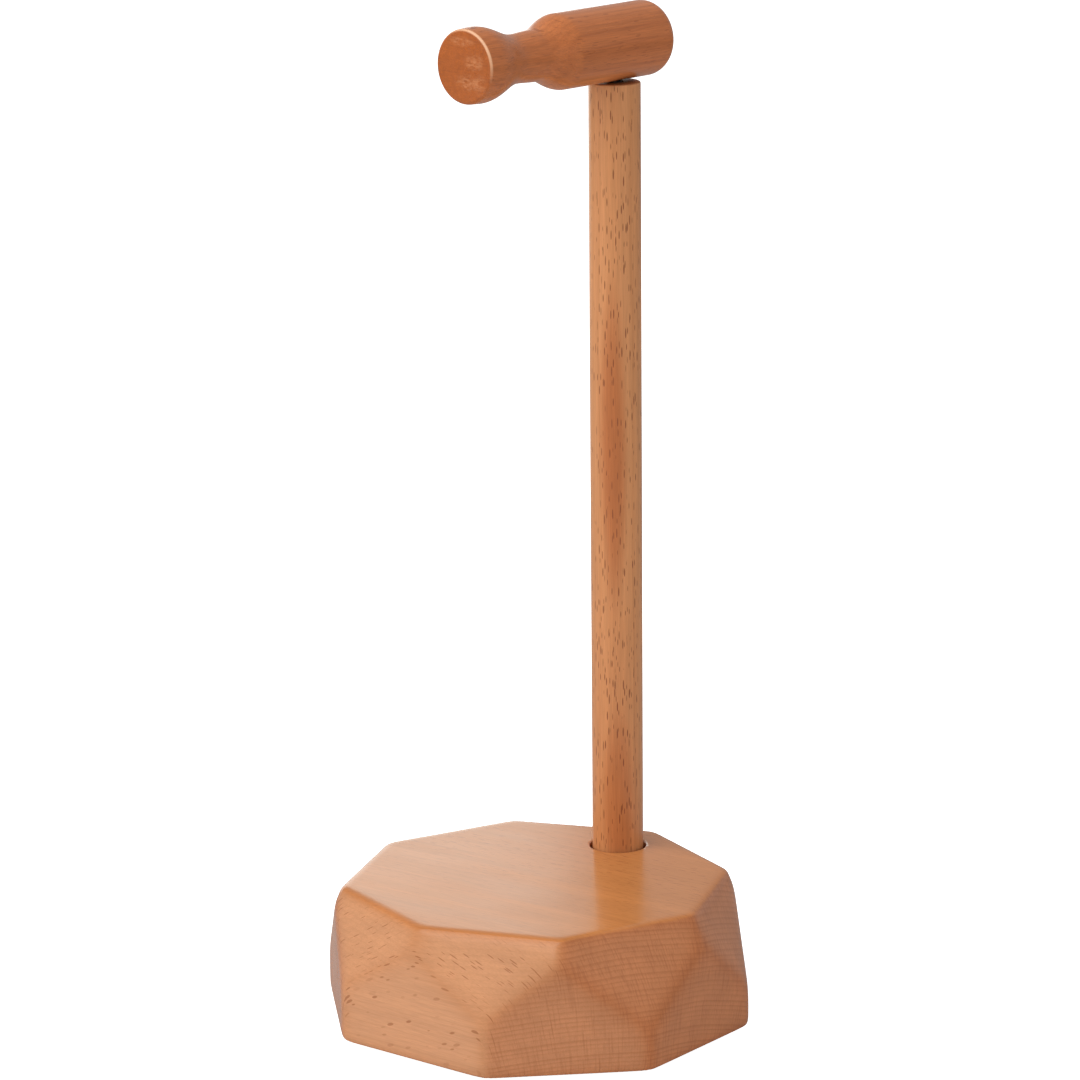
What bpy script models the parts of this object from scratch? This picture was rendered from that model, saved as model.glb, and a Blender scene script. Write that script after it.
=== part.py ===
"""A wooden headphone stand.

A faceted beech block carries a round post near its back edge. A turned crossbar lies across the post's
head and points forward over the block, and the headband hangs on its neck. A screw from beneath pulls the
post down into its socket, and a hanger bolt holds the crossbar, which can be turned on it by hand.

Metres, +Z up, -Y forward. The origin is on the surface that the stand rests on, under the block's middle.
"""

import math

import bmesh
import bpy
from mathutils import Vector, geometry

# Clearance left between solids that touch on the real stand.
GAP = 0.0003
# A cutter runs this far past the face that it opens.
PAST = 0.002

WOOD_SEGMENTS = 48
METAL_SEGMENTS = 28
# Neighbouring faces at a larger angle than this meet in a crisp edge.
SHARP_DEG = 35.0

# Feet: pads set in shallow recesses in the block's underside.
PAD_RADIUS = 0.0065
PAD_THICKNESS = 0.0020
PAD_CHAMFER = 0.0003
RECESS_DEPTH = 0.0015
FOOT_REACH = 0.0304
UNDERSIDE_Z = PAD_THICKNESS + GAP - RECESS_DEPTH

# Block: eight upright walls, and eight slanted facets that each run from an edge of the top down to a tip
# on the upright edge below it. It is cut and sanded by hand, so no two facets are quite alike. Each list
# starts at +X and goes anticlockwise, seen from above; tip k lies between walls k and k + 1.
BASE_HEIGHT = 0.0405
WALL_REACH = (0.0605, 0.0585, 0.0590, 0.0590, 0.0590, 0.0585, 0.0580, 0.0600)
TOP_CORNER_REACH = (0.0565, 0.0565, 0.0565, 0.0565, 0.0560, 0.0565, 0.0545, 0.0565)
TOP_CORNER_TURN_DEG = (0.5, 0.0, -0.5, 0.0, -0.5, 0.0, 1.5, 0.5)
TIP_HEIGHT = (0.0135, 0.0155, 0.0155, 0.0155, 0.0155, 0.0190, 0.0180, 0.0140)
EDGE_RADIUS = 0.0040
EDGE_SEGMENTS = 3
SIDES = len(WALL_REACH)
BASE_TOP_Z = UNDERSIDE_Z + BASE_HEIGHT

# Post: a standard 15 mm dowel in a loose socket.
POST_RADIUS = 0.0075
POST_Y = 0.0393
POST_CHAMFER = 0.0004
POST_TOP_Z = UNDERSIDE_Z + 0.2671
SOCKET_DEPTH = 0.022
SOCKET_RADIUS = POST_RADIUS + 0.00075
SOCKET_RIM = 0.0006
SOCKET_FLOOR_Z = BASE_TOP_Z - SOCKET_DEPTH
POST_FOOT_Z = SOCKET_FLOOR_Z + GAP

# M5 screw from beneath, with its flat washer and split lock washer, in a counterbore.
COUNTERBORE_RADIUS = 0.0072
COUNTERBORE_DEPTH = 0.0090
SCREW_RADIUS = 0.0024
SCREW_HOLE_RADIUS = 0.0028
SCREW_LENGTH = 0.025
HEAD_RADIUS = 0.00425
HEAD_HEIGHT = 0.0050
HEX_SIDES = 6
HEX_ACROSS_FLATS = 0.0040
HEX_DEPTH = 0.0026
WASHER_RADIUS = 0.0062
WASHER_THICKNESS = 0.0010
WASHER_CHAMFER = 0.0002
LOCK_WASHER_RADIUS = 0.0046
LOCK_WASHER_THICKNESS = 0.0012
LOCK_WASHER_SLIT_DEG = 14.0
SEAT_Z = UNDERSIDE_Z + COUNTERBORE_DEPTH
WASHER_Z = SEAT_Z - GAP - WASHER_THICKNESS
LOCK_WASHER_Z = WASHER_Z - GAP - LOCK_WASHER_THICKNESS
HEAD_TOP_Z = LOCK_WASHER_Z - GAP

# M5 threaded inserts: one in the post's foot, one in the crossbar's underside.
INSERT_RADIUS = 0.0040
INSERT_LENGTH = 0.0115
INSERT_BORE_RADIUS = SCREW_RADIUS + GAP
INSERT_CHAMFER = 0.0004
INSERT_SINK = 0.0006
INSERT_HOLE_RADIUS = INSERT_RADIUS + GAP
INSERT_HOLE_EXTRA = 0.0015
INSERT_HOLE_DEPTH = INSERT_SINK + INSERT_LENGTH + INSERT_HOLE_EXTRA

# Hanger bolt: wood thread down in the post's head, machine thread up in the crossbar.
HANGER_BELOW = 0.0220
HANGER_ABOVE = 0.0125
HANGER_POINT = 0.0040
HANGER_HOLE_RADIUS = SCREW_RADIUS + GAP
SCREW_CHAMFER = 0.0005

# Crossbar, with lengths along it measured forward from the post's axis.
BAR_RADIUS = 0.0108
BAR_REAR = -0.0156
BAR_REAR_ROUND = 0.0038
BAR_REAR_STEPS = 5
SHOULDER_START = 0.0240
SHOULDER_END = 0.0340
# The shoulder is part straight cone, so it starts and ends with a faint edge.
SHOULDER_EDGE = 0.35
NECK_REAR_RADIUS = 0.0073
NECK_FRONT = 0.0420
NECK_RADIUS = 0.00695
RIM_START = 0.0573
RIM_RADIUS = 0.0107
RIM_FRONT_RADIUS = 0.0105
FRONT_ROUND = 0.0010
FRONT_ROUND_STEPS = 4
BAR_FRONT = 0.0617
BLEND_STEPS = 7
NECK_STEPS = 2
BAR_AXIS_Z = POST_TOP_Z + GAP + BAR_RADIUS
# The crossbar is turned a little on its bolt, away from straight ahead.
BAR_TURN_DEG = -4.5

BEECH = (0.55, 0.27, 0.11)
BEECH_POST = (0.50, 0.22, 0.085)
BEECH_BAR = (0.37, 0.12, 0.045)
ZINC = (0.62, 0.63, 0.65)
BRASS = (0.71, 0.52, 0.22)
DARK_RUBBER = (0.03, 0.03, 0.032)


def clear_scene():
    """Remove whatever the scene holds."""
    for thing in list(bpy.data.objects):
        bpy.data.objects.remove(thing, do_unlink=True)


def make_material(name, colour, roughness, metallic=0.0):
    """A Principled material in one colour."""
    material = bpy.data.materials.new(name)
    material.use_nodes = True
    shader = material.node_tree.nodes["Principled BSDF"]
    shader.inputs["Base Color"].default_value = (*colour, 1.0)
    shader.inputs["Roughness"].default_value = roughness
    shader.inputs["Metallic"].default_value = metallic
    return material


def add_object(name, vertices, faces, material, location=(0.0, 0.0, 0.0), parent=None):
    """A smooth-shaded object with crisp edges, from its points and faces."""
    mesh = bpy.data.meshes.new(name)
    mesh.from_pydata([tuple(v) for v in vertices], [], faces)
    mesh.shade_smooth()
    mesh.set_sharp_from_angle(angle=math.radians(SHARP_DEG))
    thing = bpy.data.objects.new(name, mesh)
    thing.location = location
    thing.parent = parent
    if material is not None:
        mesh.materials.append(material)
    bpy.context.scene.collection.objects.link(thing)
    return thing


def turned_faces(rings, closed):
    """Faces between neighbouring rings of point numbers; a ring of one point is a tip on the axis."""
    faces = []
    pairs = list(zip(rings, rings[1:]))
    if closed:
        pairs.append((rings[-1], rings[0]))
    for low, high in pairs:
        count = max(len(low), len(high))
        for i in range(count):
            j = (i + 1) % count
            if len(low) == 1:
                faces.append((low[0], high[j], high[i]))
            elif len(high) == 1:
                faces.append((low[i], low[j], high[0]))
            else:
                faces.append((low[i], low[j], high[j], high[i]))
    return faces


def turned(name, outline, material, location=(0.0, 0.0, 0.0), parent=None, segments=WOOD_SEGMENTS):
    """A turned solid about its own Z axis.

    The outline is (radius, z) points, running up the outer side. It starts and ends on the axis, or, for a
    ring or a tube, comes back down the bore to where it started.
    """
    vertices = []
    rings = []
    for radius, z in outline:
        start = len(vertices)
        count = segments if radius > 0.0 else 1
        for i in range(count):
            turn = math.tau * i / segments
            vertices.append((radius * math.cos(turn), radius * math.sin(turn), z))
        rings.append(range(start, start + count))
    faces = turned_faces(rings, closed=outline[0][0] > 0.0)
    return add_object(name, vertices, faces, material, location, parent)


def chamfered(radius, low, high, chamfer):
    """The outer side of a plain cylinder with a chamfer at each end."""
    inner = radius - chamfer
    return [(inner, low), (radius, low + chamfer), (radius, high - chamfer), (inner, high)]


def cut(thing, cutter):
    """Take the cutter's shape out of the object."""
    cutter.hide_render = True
    cutter.display_type = "WIRE"
    boolean = thing.modifiers.new(cutter.name, "BOOLEAN")
    boolean.operation = "DIFFERENCE"
    boolean.solver = "EXACT"
    boolean.object = cutter


def on_compass(k, reach, turn_deg=0.0):
    """The point at that reach in direction k of the block's eight, turned a little if asked."""
    angle = math.tau * k / SIDES + math.radians(turn_deg)
    return Vector((reach * math.cos(angle), reach * math.sin(angle), 0.0))


def upright_edge(k):
    """Where walls k and k + 1 meet, on the ground plane."""
    first = on_compass(k, WALL_REACH[k])
    second = on_compass(k + 1, WALL_REACH[(k + 1) % SIDES])
    along_first = Vector((-first.y, first.x, 0.0))
    along_second = Vector((-second.y, second.x, 0.0))
    meeting = geometry.intersect_line_line(first, first + along_first, second, second + along_second)
    return meeting[0]


def facet_plane(tops, tips, k):
    """A point on facet k and its outward normal."""
    normal = (tops[(k + 1) % SIDES] - tops[k]).cross(tips[k] - tops[k])
    if normal.dot(tips[k]) < 0.0:
        normal.negate()
    return tops[k], normal.normalized()


def wall_peak(tops, tips, k):
    """The top of wall k, where its two facets cross it."""
    on_wall = on_compass(k, WALL_REACH[k])
    before_point, before = facet_plane(tops, tips, (k - 1) % SIDES)
    after_point, after = facet_plane(tops, tips, k)
    ridge = geometry.intersect_plane_plane(before_point, before, after_point, after)
    return geometry.intersect_line_plane(ridge[0], ridge[0] + ridge[1], on_wall, on_wall.normalized())


def base_mesh_data():
    """Points and faces of the sharp-edged block."""
    lift = Vector((0.0, 0.0, UNDERSIDE_Z))
    feet = [upright_edge(k) + lift for k in range(SIDES)]
    tips = [feet[k] + Vector((0.0, 0.0, TIP_HEIGHT[k])) for k in range(SIDES)]
    tops = []
    for k in range(SIDES):
        corner = on_compass(k, TOP_CORNER_REACH[k], TOP_CORNER_TURN_DEG[k])
        corner.z = BASE_TOP_Z
        tops.append(corner)
    peaks = [wall_peak(tops, tips, k) for k in range(SIDES)]
    vertices = feet + tips + peaks + tops
    foot, tip, peak, top = (range(i * SIDES, (i + 1) * SIDES) for i in range(4))
    faces = [tuple(reversed(foot)), tuple(top)]
    for k in range(SIDES):
        last = (k - 1) % SIDES
        after = (k + 1) % SIDES
        faces.append((foot[last], foot[k], tip[k], peak[k], tip[last]))
        faces.append((top[k], peak[k], tip[k], peak[after], top[after]))
    return vertices, faces


def round_edges(thing):
    """Round every edge to the same radius, whatever the angle between its faces."""
    mesh = bmesh.new()
    mesh.from_mesh(thing.data)
    weight = mesh.edges.layers.float.new("bevel_weight_edge")
    for edge in mesh.edges:
        edge[weight] = math.tan(edge.calc_face_angle() / 2.0)
    mesh.to_mesh(thing.data)
    mesh.free()
    bevel = thing.modifiers.new("Sanded edges", "BEVEL")
    bevel.limit_method = "WEIGHT"
    bevel.offset_type = "OFFSET"
    bevel.width = EDGE_RADIUS
    bevel.segments = EDGE_SEGMENTS


def socket_cutter():
    """The post's socket, the screw's hole and its counterbore, as one stepped cutter."""
    outline = [
        (0.0, UNDERSIDE_Z - PAST),
        (COUNTERBORE_RADIUS, UNDERSIDE_Z - PAST),
        (COUNTERBORE_RADIUS, SEAT_Z),
        (SCREW_HOLE_RADIUS, SEAT_Z),
        (SCREW_HOLE_RADIUS, SOCKET_FLOOR_Z),
        (SOCKET_RADIUS, SOCKET_FLOOR_Z),
        (SOCKET_RADIUS, BASE_TOP_Z - SOCKET_RIM),
        (SOCKET_RADIUS + SOCKET_RIM, BASE_TOP_Z),
        (SOCKET_RADIUS + SOCKET_RIM, BASE_TOP_Z + PAST),
        (0.0, BASE_TOP_Z + PAST),
    ]
    return turned("socket_cutter", outline, None, (0.0, POST_Y, 0.0))


def foot_places():
    """The name and place of each foot."""
    places = {}
    for depth, y in (("front", -FOOT_REACH), ("back", FOOT_REACH)):
        for side, x in (("left", -FOOT_REACH), ("right", FOOT_REACH)):
            places[f"foot_{depth}_{side}"] = (x, y, 0.0)
    return places


def make_base(wood):
    """The faceted block, with its socket and the recesses for its feet."""
    vertices, faces = base_mesh_data()
    base = add_object("base", vertices, faces, wood)
    round_edges(base)
    cut(base, socket_cutter())
    recess_radius = PAD_RADIUS + GAP
    recess_top = UNDERSIDE_Z + RECESS_DEPTH
    outline = [(0.0, -PAST), (recess_radius, -PAST), (recess_radius, recess_top), (0.0, recess_top)]
    for name, place in foot_places().items():
        cut(base, turned(f"{name}_cutter", outline, None, place, segments=METAL_SEGMENTS))


def make_feet(rubber):
    """The four anti-slip pads."""
    outline = [(0.0, 0.0), *chamfered(PAD_RADIUS, 0.0, PAD_THICKNESS, PAD_CHAMFER), (0.0, PAD_THICKNESS)]
    for name, place in foot_places().items():
        turned(name, outline, rubber, place, segments=METAL_SEGMENTS)


def make_post(wood):
    """The dowel, bored at its foot for the insert and at its head for the hanger bolt."""
    length = POST_TOP_Z - POST_FOOT_Z
    bore_floor = length - HANGER_BELOW - GAP
    outline = [
        (0.0, INSERT_HOLE_DEPTH),
        (INSERT_HOLE_RADIUS, INSERT_HOLE_DEPTH),
        (INSERT_HOLE_RADIUS, 0.0),
        *chamfered(POST_RADIUS, 0.0, length, POST_CHAMFER),
        (HANGER_HOLE_RADIUS, length),
        (HANGER_HOLE_RADIUS, bore_floor),
        (0.0, bore_floor),
    ]
    turned("post", outline, wood, (0.0, POST_Y, POST_FOOT_Z))


def tube_outline(radius, bore, low, high, chamfer):
    """A tube's outline, with the outer edges chamfered: up the outside and down the bore."""
    return [*chamfered(radius, low, high, chamfer), (bore, high), (bore, low)]


def make_screw(steel):
    """The socket-head screw, standing head down in the counterbore."""
    outline = [
        (0.0, -HEAD_HEIGHT),
        (HEAD_RADIUS - SCREW_CHAMFER, -HEAD_HEIGHT),
        (HEAD_RADIUS, SCREW_CHAMFER - HEAD_HEIGHT),
        (HEAD_RADIUS, 0.0),
        (SCREW_RADIUS, 0.0),
        (SCREW_RADIUS, SCREW_LENGTH - SCREW_CHAMFER),
        (SCREW_RADIUS - SCREW_CHAMFER, SCREW_LENGTH),
        (0.0, SCREW_LENGTH),
    ]
    place = (0.0, POST_Y, HEAD_TOP_Z)
    screw = turned("post_screw", outline, steel, place, segments=METAL_SEGMENTS)
    corner = HEX_ACROSS_FLATS / 2.0 / math.cos(math.pi / HEX_SIDES)
    top = HEX_DEPTH - HEAD_HEIGHT
    hexagon = [(0.0, -HEAD_HEIGHT - PAST), (corner, -HEAD_HEIGHT - PAST), (corner, top), (0.0, top)]
    cut(screw, turned("hex_cutter", hexagon, None, place, segments=HEX_SIDES))


def make_washers(steel):
    """The flat washer, and below it the split lock washer."""
    flat = tube_outline(WASHER_RADIUS, SCREW_HOLE_RADIUS, 0.0, WASHER_THICKNESS, WASHER_CHAMFER)
    turned("post_washer", flat, steel, (0.0, POST_Y, WASHER_Z), segments=METAL_SEGMENTS)
    split_ring("post_lock_washer", steel, (0.0, POST_Y, LOCK_WASHER_Z))


def split_ring(name, material, location):
    """A square-section ring with a narrow slit in it."""
    steps = METAL_SEGMENTS
    start = math.radians(LOCK_WASHER_SLIT_DEG / 2.0)
    sweep = math.tau - 2.0 * start
    corners = [
        (LOCK_WASHER_RADIUS, 0.0),
        (LOCK_WASHER_RADIUS, LOCK_WASHER_THICKNESS),
        (SCREW_HOLE_RADIUS, LOCK_WASHER_THICKNESS),
        (SCREW_HOLE_RADIUS, 0.0),
    ]
    vertices = []
    for i in range(steps + 1):
        turn = start + sweep * i / steps
        vertices += [(r * math.cos(turn), r * math.sin(turn), z) for r, z in corners]
    faces = [(0, 1, 2, 3)]
    for i in range(steps):
        for a in range(4):
            b = (a + 1) % 4
            faces.append((4 * i + b, 4 * i + a, 4 * i + 4 + a, 4 * i + 4 + b))
    faces.append(tuple(4 * steps + a for a in (3, 2, 1, 0)))
    return add_object(name, vertices, faces, material, location)


def make_insert(name, brass, location, parent=None):
    """A threaded insert, standing on its lower face."""
    outline = tube_outline(INSERT_RADIUS, INSERT_BORE_RADIUS, 0.0, INSERT_LENGTH, INSERT_CHAMFER)
    turned(name, outline, brass, location, parent, METAL_SEGMENTS)


def make_hanger_bolt(steel):
    """The headless bolt that joins post and crossbar, with its height measured from the post's head."""
    outline = [
        (0.0, -HANGER_BELOW),
        (SCREW_RADIUS, HANGER_POINT - HANGER_BELOW),
        (SCREW_RADIUS, HANGER_ABOVE - SCREW_CHAMFER),
        (SCREW_RADIUS - SCREW_CHAMFER, HANGER_ABOVE),
        (0.0, HANGER_ABOVE),
    ]
    turned("hanger_bolt", outline, steel, (0.0, POST_Y, POST_TOP_Z), segments=METAL_SEGMENTS)


def arc(centre, size, start_deg, end_deg, steps):
    """Points along a round corner in the crossbar's outline, 0 degrees being straight outwards."""
    points = []
    for i in range(steps + 1):
        angle = math.radians(start_deg + (end_deg - start_deg) * i / steps)
        points.append((centre[0] + size * math.cos(angle), centre[1] + size * math.sin(angle)))
    return points


def blend(start, start_radius, end, end_radius, steps, straight=0.0):
    """Points along a smooth S-shaped step between two radii, without its first point.

    A share that is straight leaves a faint edge where the step begins and ends.
    """
    points = []
    for i in range(1, steps + 1):
        share = i / steps
        ease = straight * share + (1.0 - straight) * (1.0 - math.cos(math.pi * share)) / 2.0
        points.append((start_radius + (end_radius - start_radius) * ease, start + (end - start) * share))
    return points


def crossbar_outline():
    """The crossbar's outline from its rear face to its front face."""
    rear_centre = (BAR_RADIUS - BAR_REAR_ROUND, BAR_REAR + BAR_REAR_ROUND)
    rear = arc(rear_centre, BAR_REAR_ROUND, -90.0, 0.0, BAR_REAR_STEPS)
    front_centre = (RIM_FRONT_RADIUS - FRONT_ROUND, BAR_FRONT - FRONT_ROUND)
    front = arc(front_centre, FRONT_ROUND, 0.0, 90.0, FRONT_ROUND_STEPS)
    return [
        (0.0, BAR_REAR),
        *rear,
        (BAR_RADIUS, SHOULDER_START),
        *blend(SHOULDER_START, BAR_RADIUS, SHOULDER_END, NECK_REAR_RADIUS, BLEND_STEPS, SHOULDER_EDGE),
        *blend(SHOULDER_END, NECK_REAR_RADIUS, NECK_FRONT, NECK_RADIUS, NECK_STEPS),
        *blend(NECK_FRONT, NECK_RADIUS, RIM_START, RIM_RADIUS, BLEND_STEPS),
        *front,
        (0.0, BAR_FRONT),
    ]


def make_crossbar(wood, swivel):
    """The turned bar, bored from beneath for its insert."""
    height = BAR_AXIS_Z - POST_TOP_Z
    crossbar = turned("crossbar", crossbar_outline(), wood, (0.0, 0.0, height), swivel)
    crossbar.rotation_euler = (math.radians(90.0), 0.0, 0.0)
    hole_top = GAP + INSERT_HOLE_DEPTH
    outline = [(0.0, -PAST), (INSERT_HOLE_RADIUS, -PAST), (INSERT_HOLE_RADIUS, hole_top), (0.0, hole_top)]
    cut(crossbar, turned("insert_hole_cutter", outline, None, (0.0, 0.0, 0.0), swivel, METAL_SEGMENTS))


def make_swivel():
    """The empty on the crossbar's joint axis, at the post's head."""
    swivel = bpy.data.objects.new("crossbar_swivel", None)
    swivel.location = (0.0, POST_Y, POST_TOP_Z)
    swivel.rotation_euler = (0.0, 0.0, math.radians(BAR_TURN_DEG))
    bpy.context.scene.collection.objects.link(swivel)
    return swivel


def main():
    """Build the stand."""
    clear_scene()
    steel = make_material("zinc_steel", ZINC, 0.35, 1.0)
    brass = make_material("brass", BRASS, 0.35, 1.0)
    make_base(make_material("base_beech", BEECH, 0.35))
    make_feet(make_material("rubber", DARK_RUBBER, 0.8))
    make_post(make_material("post_beech", BEECH_POST, 0.4))
    make_screw(steel)
    make_washers(steel)
    make_insert("post_insert", brass, (0.0, POST_Y, POST_FOOT_Z + INSERT_SINK))
    make_hanger_bolt(steel)
    swivel = make_swivel()
    make_crossbar(make_material("crossbar_beech", BEECH_BAR, 0.35), swivel)
    # The crossbar's round underside curves up beside its lowest line, so its insert starts higher.
    make_insert("crossbar_insert", brass, (0.0, 0.0, GAP + INSERT_SINK), swivel)


main()
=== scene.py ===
"""The looks of a wooden headphone stand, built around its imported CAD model.

Every CAD node is rebuilt as a fine mesh in its own place: the faceted block with softly sanded edges, the
dowel, the turned crossbar, the pads, the washers, and the screw, bolt and inserts with their threads and
knurls. All materials are procedural. Metres, +Z up, in the CAD model's own frame.
"""

import math

import bmesh
import bpy
import numpy as np
from mathutils import Euler, Matrix, Vector, noise


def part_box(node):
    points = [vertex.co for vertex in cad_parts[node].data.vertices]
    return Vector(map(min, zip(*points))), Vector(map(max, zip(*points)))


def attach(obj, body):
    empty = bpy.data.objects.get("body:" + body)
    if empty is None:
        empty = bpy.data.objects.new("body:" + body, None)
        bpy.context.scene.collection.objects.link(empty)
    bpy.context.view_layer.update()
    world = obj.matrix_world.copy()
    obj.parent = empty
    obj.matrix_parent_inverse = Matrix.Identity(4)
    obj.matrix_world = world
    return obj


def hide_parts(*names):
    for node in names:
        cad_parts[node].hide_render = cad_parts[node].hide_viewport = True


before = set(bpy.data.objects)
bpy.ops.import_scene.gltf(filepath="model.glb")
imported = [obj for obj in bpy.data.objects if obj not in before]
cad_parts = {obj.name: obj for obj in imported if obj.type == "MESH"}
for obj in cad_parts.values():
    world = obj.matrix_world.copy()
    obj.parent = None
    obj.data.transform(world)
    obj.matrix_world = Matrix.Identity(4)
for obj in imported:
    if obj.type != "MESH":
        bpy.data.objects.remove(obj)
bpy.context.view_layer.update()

MM = 0.001
# Clearance between neighbouring solids, as in the CAD model.
GAP = 0.3 * MM
# Lengths that differ by less than this are the same.
SAME = 1e-7
# Edges that turn by more than this stay sharp.
SHARP_DEG = 32.0

# Camera, fitted to the object's outline.
CAMERA_PLACE = (0.80702, -1.01541, 0.46976)
CAMERA_AZIMUTH_DEG = 38.38
CAMERA_DOWN_DEG = 14.19
CAMERA_ROLL_DEG = -0.5
CAMERA_LENS_MM = 157.26
CAMERA_SENSOR_MM = 36.0
CAMERA_NEAREST = 0.05
CAMERA_FURTHEST = 50.0

# Sides of the round meshes.
POST_SIDES = 96
BAR_SIDES = 128
BORE_SIDES = 64
BOLT_SIDES = 72
WASHER_SIDES = 96
PAD_SIDES = 72

# Block: size of a mesh cell, softness of its sanded edges, and the hand-sanded unevenness of its faces.
BLOCK_CELL = 1.0 * MM
RIDGE_SOFTNESS = 0.80 * MM
TOP_EDGE_SOFTNESS = 0.55 * MM
# Below the top, its sharper edges give way to the softer ridges over this depth.
TOP_EDGE_DEPTH = 2.5 * MM
# Rounds in which the points settle on the softened block.
SETTLING_ROUNDS = 10
SANDING_DEPTH = 0.04 * MM
SANDING_SIZE = 24.0 * MM
# Reach of the darker tone along the edges. Points deeper inside than BORE_DEPTH are on a bore and have none.
EDGE_TONE_REACH = 1.1 * MM
BORE_DEPTH = 1.2 * MM
# The CAD block's flat faces: the least area that counts, and how far a face's triangles may differ.
FLAT_FACE_AREA = 300.0 * MM * MM
SAME_FACE_DEG = 0.3

# Socket and counterbore in the block, about the post's axis.
SOCKET_CLEARANCE = 0.75 * MM
SOCKET_RIM = 0.6 * MM
COUNTERBORE_CLEARANCE = 1.0 * MM
SCREW_HOLE_RADIUS = 2.8 * MM
# How far a cutter reaches past the face that it opens.
PAST = 2.0 * MM

# Post: its rounded ends, and the height of a row of its mesh.
POST_EDGE = 0.5 * MM
POST_ROW = 2.5 * MM

# Unevenness of the post and the crossbar. On the post it is drawn out lengthwise.
TURNING_DEPTH = 0.03 * MM
TURNING_SIZE = 9.0 * MM
POST_STRETCH = 3.0

# Crossbar, with lengths along it measured forward from the post's axis.
BAR_TURN_DEG = -4.5
BAR_RADIUS = 10.8 * MM
BAR_REAR = -15.6 * MM
BAR_REAR_ROUND = 3.8 * MM
BAR_ROW = 2.0 * MM
SHOULDER_START = 24.0 * MM
SHOULDER_END = 34.0 * MM
SHOULDER_EDGE = 0.35
NECK_REAR_RADIUS = 7.3 * MM
NECK_FRONT = 42.0 * MM
NECK_RADIUS = 6.95 * MM
RIM_START = 57.3 * MM
RIM_RADIUS = 10.7 * MM
RIM_FRONT_RADIUS = 10.5 * MM
FRONT_ROUND = 1.0 * MM
BAR_FRONT = 61.7 * MM

# Threads of the screw and the bolt. Each fades out at both ends, and has this many mesh rows to a turn.
THREAD_RADIUS = 2.4 * MM
THREAD_PITCH = 0.8 * MM
THREAD_DEPTH = 0.45 * MM
THREAD_ROWS = 6.0
WOOD_THREAD_PITCH = 1.8 * MM
WOOD_THREAD_DEPTH = 0.65 * MM
WOOD_THREAD_ROWS = 8.0
THREAD_RUN_OUT = 1.2 * MM
THREAD_CHAMFER = 0.5 * MM

# Screw's head, and the plain shank below it.
HEX_ACROSS_FLATS = 4.0 * MM
HEX_DEPTH = 2.6 * MM
HEX_TIP = 0.6 * MM
HEAD_CHAMFER = 0.5 * MM
UNDERHEAD_CHAMFER = 0.2 * MM
PLAIN_SHANK = 2.0 * MM

# Bolt: its tapered point, and its waist, measured down from the post's head.
POINT_LENGTH = 4.0 * MM
POINT_ROW = 0.3 * MM
WAIST_BOTTOM = 5.0 * MM
WAIST_TOP = 1.0 * MM

# Inserts, and the holes they stand in.
INSERT_HOLE_RADIUS = 4.3 * MM
INSERT_HOLE_EXTRA = 1.5 * MM
INSERT_CHAMFER = 0.4 * MM
INSERT_GROOVE = 0.5 * MM
KNURLS = 36
KNURL_DEPTH = 0.18 * MM
KNURLED_SIDES = 4 * KNURLS
BORE_THREAD_DEPTH = 0.25 * MM
BORE_THREAD_ROWS = 5.0

# Washers.
WASHER_EDGE = 0.25 * MM
LOCK_WASHER_EDGE = 0.15 * MM
SLIT_HALF_DEG = 7.0
SLIT_SLANT_DEG = 5.0

# Pads. The dish's reaches are shares of the pad's radius.
PAD_EDGE = 0.5 * MM
DISH_DEPTH = 0.15 * MM
DISH_FLAT = 0.6
DISH_RIM = 0.8


# ---------------------------------------------------------------- meshes


def add_piece(name, mesh, body, nodes, material):
    """A smooth-shaded piece that rides on a CAD body and stands for some of its nodes."""
    mesh.shade_smooth()
    mesh.set_sharp_from_angle(angle=math.radians(SHARP_DEG))
    mesh.materials.clear()
    mesh.materials.append(material)
    piece = bpy.data.objects.new(name, mesh)
    bpy.context.scene.collection.objects.link(piece)
    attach(piece, body)
    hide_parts(*nodes)


def mesh_from(name, vertices, faces):
    """A mesh from its points and faces, with the faces pointing out."""
    mesh = bpy.data.meshes.new(name)
    mesh.from_pydata([tuple(v) for v in vertices], [], faces)
    work = bmesh.new()
    work.from_mesh(mesh)
    bmesh.ops.recalc_face_normals(work, faces=work.faces)
    work.to_mesh(mesh)
    work.free()
    return mesh


def lathe(name, outline, segments, shape=None, closed=False):
    """A mesh turned about its own Z axis from (radius, z) points.

    shape(radius, z, turn) may change a point's radius, which makes threads, knurls and sockets. A radius
    of zero is a tip on the axis. A closed outline comes back down the bore to where it started.
    """
    vertices = []
    rings = []
    for radius, z in outline:
        start = len(vertices)
        count = segments if radius > 0.0 else 1
        for i in range(count):
            turn = math.tau * i / segments
            reach = shape(radius, z, turn) if shape and radius > 0.0 else radius
            vertices.append((reach * math.cos(turn), reach * math.sin(turn), z))
        rings.append(range(start, start + count))
    pairs = list(zip(rings, rings[1:]))
    if closed:
        pairs.append((rings[-1], rings[0]))
    faces = []
    for low, high in pairs:
        for i in range(max(len(low), len(high))):
            j = (i + 1) % segments
            if len(low) == 1:
                faces.append((low[0], high[j], high[i]))
            elif len(high) == 1:
                faces.append((low[i], low[j], high[0]))
            else:
                faces.append((low[i], low[j], high[j], high[i]))
    return mesh_from(name, vertices, faces)


def steps_between(low, high, size):
    """Evenly spaced values from low to high, both included, about a given size apart."""
    count = max(1, math.ceil(abs(high - low) / size))
    return [low + (high - low) * i / count for i in range(count + 1)]


def arc(centre, size, start_deg, end_deg, steps):
    """(radius, z) points along a round corner, 0 degrees being straight outwards."""
    points = []
    for i in range(steps + 1):
        angle = math.radians(start_deg + (end_deg - start_deg) * i / steps)
        points.append((centre[0] + size * math.cos(angle), centre[1] + size * math.sin(angle)))
    return points


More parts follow.
